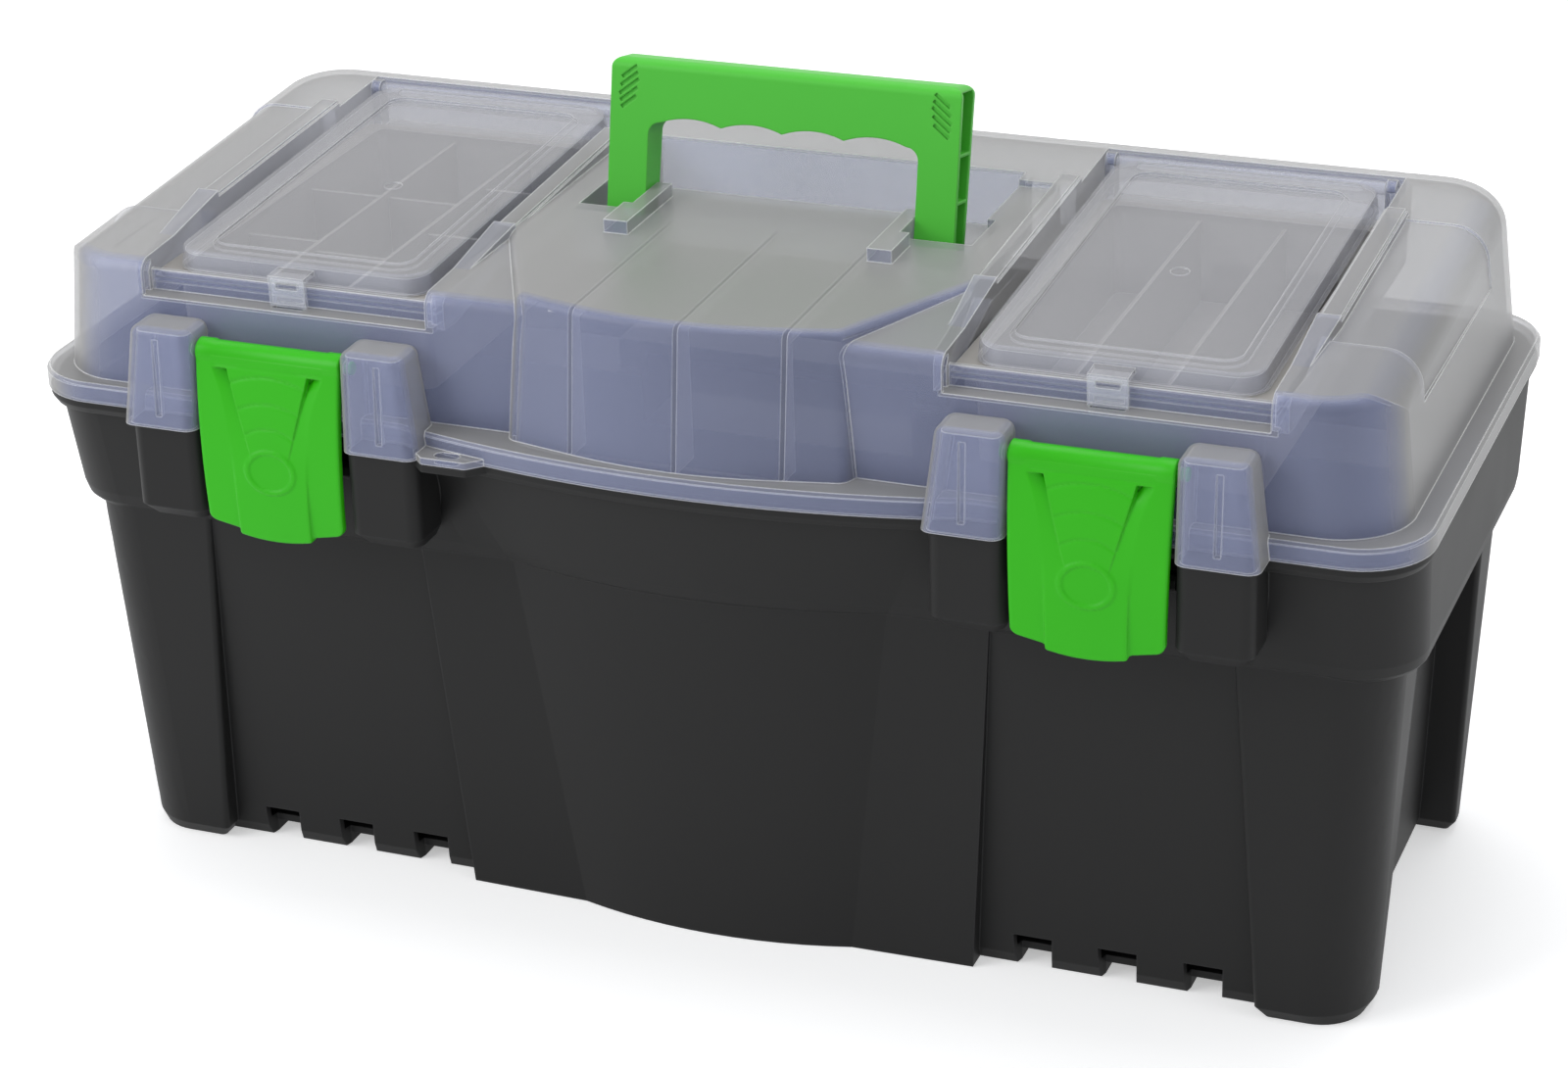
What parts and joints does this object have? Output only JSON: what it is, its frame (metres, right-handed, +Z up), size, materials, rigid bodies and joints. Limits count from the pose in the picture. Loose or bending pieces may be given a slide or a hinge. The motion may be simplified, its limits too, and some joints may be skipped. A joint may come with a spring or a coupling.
{
  "type": "toolbox with organizer lid",
  "caption": "Plastic toolbox with a dark tub, clear domed lid with two covered organizers, front latches, folding handle and lift-out tray.",
  "frame": {"origin": "on the ground at the centre of the closed toolbox", "axes": "+X along the toolbox to its right end seen from the front, +Y to the rear, +Z up; the latches face -Y"},
  "size_m": [0.55, 0.267, 0.3177],
  "materials": {
    "tub_plastic": "satin",
    "black_plastic": "satin",
    "lid_plastic": "satin",
    "cover_plastic": "gloss",
    "bin_plastic": "satin",
    "green_plastic": "satin"
  },
  "bodies": {
    "tub": {"tub": "tub_plastic", "hinge_pins": "black_plastic", "tray": "black_plastic"},
    "lid": {"lid_shell": "lid_plastic", "organizer_bin_left": "bin_plastic", "organizer_bin_right": "bin_plastic", "long_divider_left_1": "bin_plastic", "long_divider_left_2": "bin_plastic", "long_divider_right_1": "bin_plastic", "long_divider_right_2": "bin_plastic", "cross_divider_1": "bin_plastic", "cross_divider_2": "bin_plastic", "cross_divider_3": "bin_plastic", "cross_divider_4": "bin_plastic", "cross_divider_5": "bin_plastic", "cross_divider_6": "bin_plastic"},
    "handle": {"handle": "green_plastic"},
    "latch_left": {"latch_left": "green_plastic"},
    "latch_right": {"latch_right": "green_plastic"},
    "cover_left": {"organizer_cover_left": "cover_plastic"},
    "cover_right": {"organizer_cover_right": "cover_plastic"}
  },
  "joints": [
    {"name": "lid_hinge", "type": "hinge", "parent": "tub", "child": "lid", "pos_m": [0, 0.127, 0.204], "axis": [-1, 0, 0], "range_deg": [0, 100]},
    {"name": "latch_left_hinge", "type": "hinge", "parent": "lid", "child": "latch_left", "pos_m": [-0.1605, -0.1225, 0.2306], "axis": [-1, 0, 0], "range_deg": [0, 110]},
    {"name": "latch_right_hinge", "type": "hinge", "parent": "lid", "child": "latch_right", "pos_m": [0.1605, -0.1225, 0.2306], "axis": [-1, 0, 0], "range_deg": [0, 110]},
    {"name": "cover_left_hinge", "type": "hinge", "parent": "lid", "child": "cover_left", "pos_m": [-0.1605, 0.0852, 0.26541], "axis": [-1, 0, 0], "range_deg": [0, 100]},
    {"name": "cover_right_hinge", "type": "hinge", "parent": "lid", "child": "cover_right", "pos_m": [0.1605, 0.0852, 0.26541], "axis": [-1, 0, 0], "range_deg": [0, 100]},
    {"name": "handle_hinge", "type": "hinge", "parent": "lid", "child": "handle", "pos_m": [0, -0.006, 0.255], "axis": [-1, 0, 0], "range_deg": [-11.2, 76.5]}
  ]
}
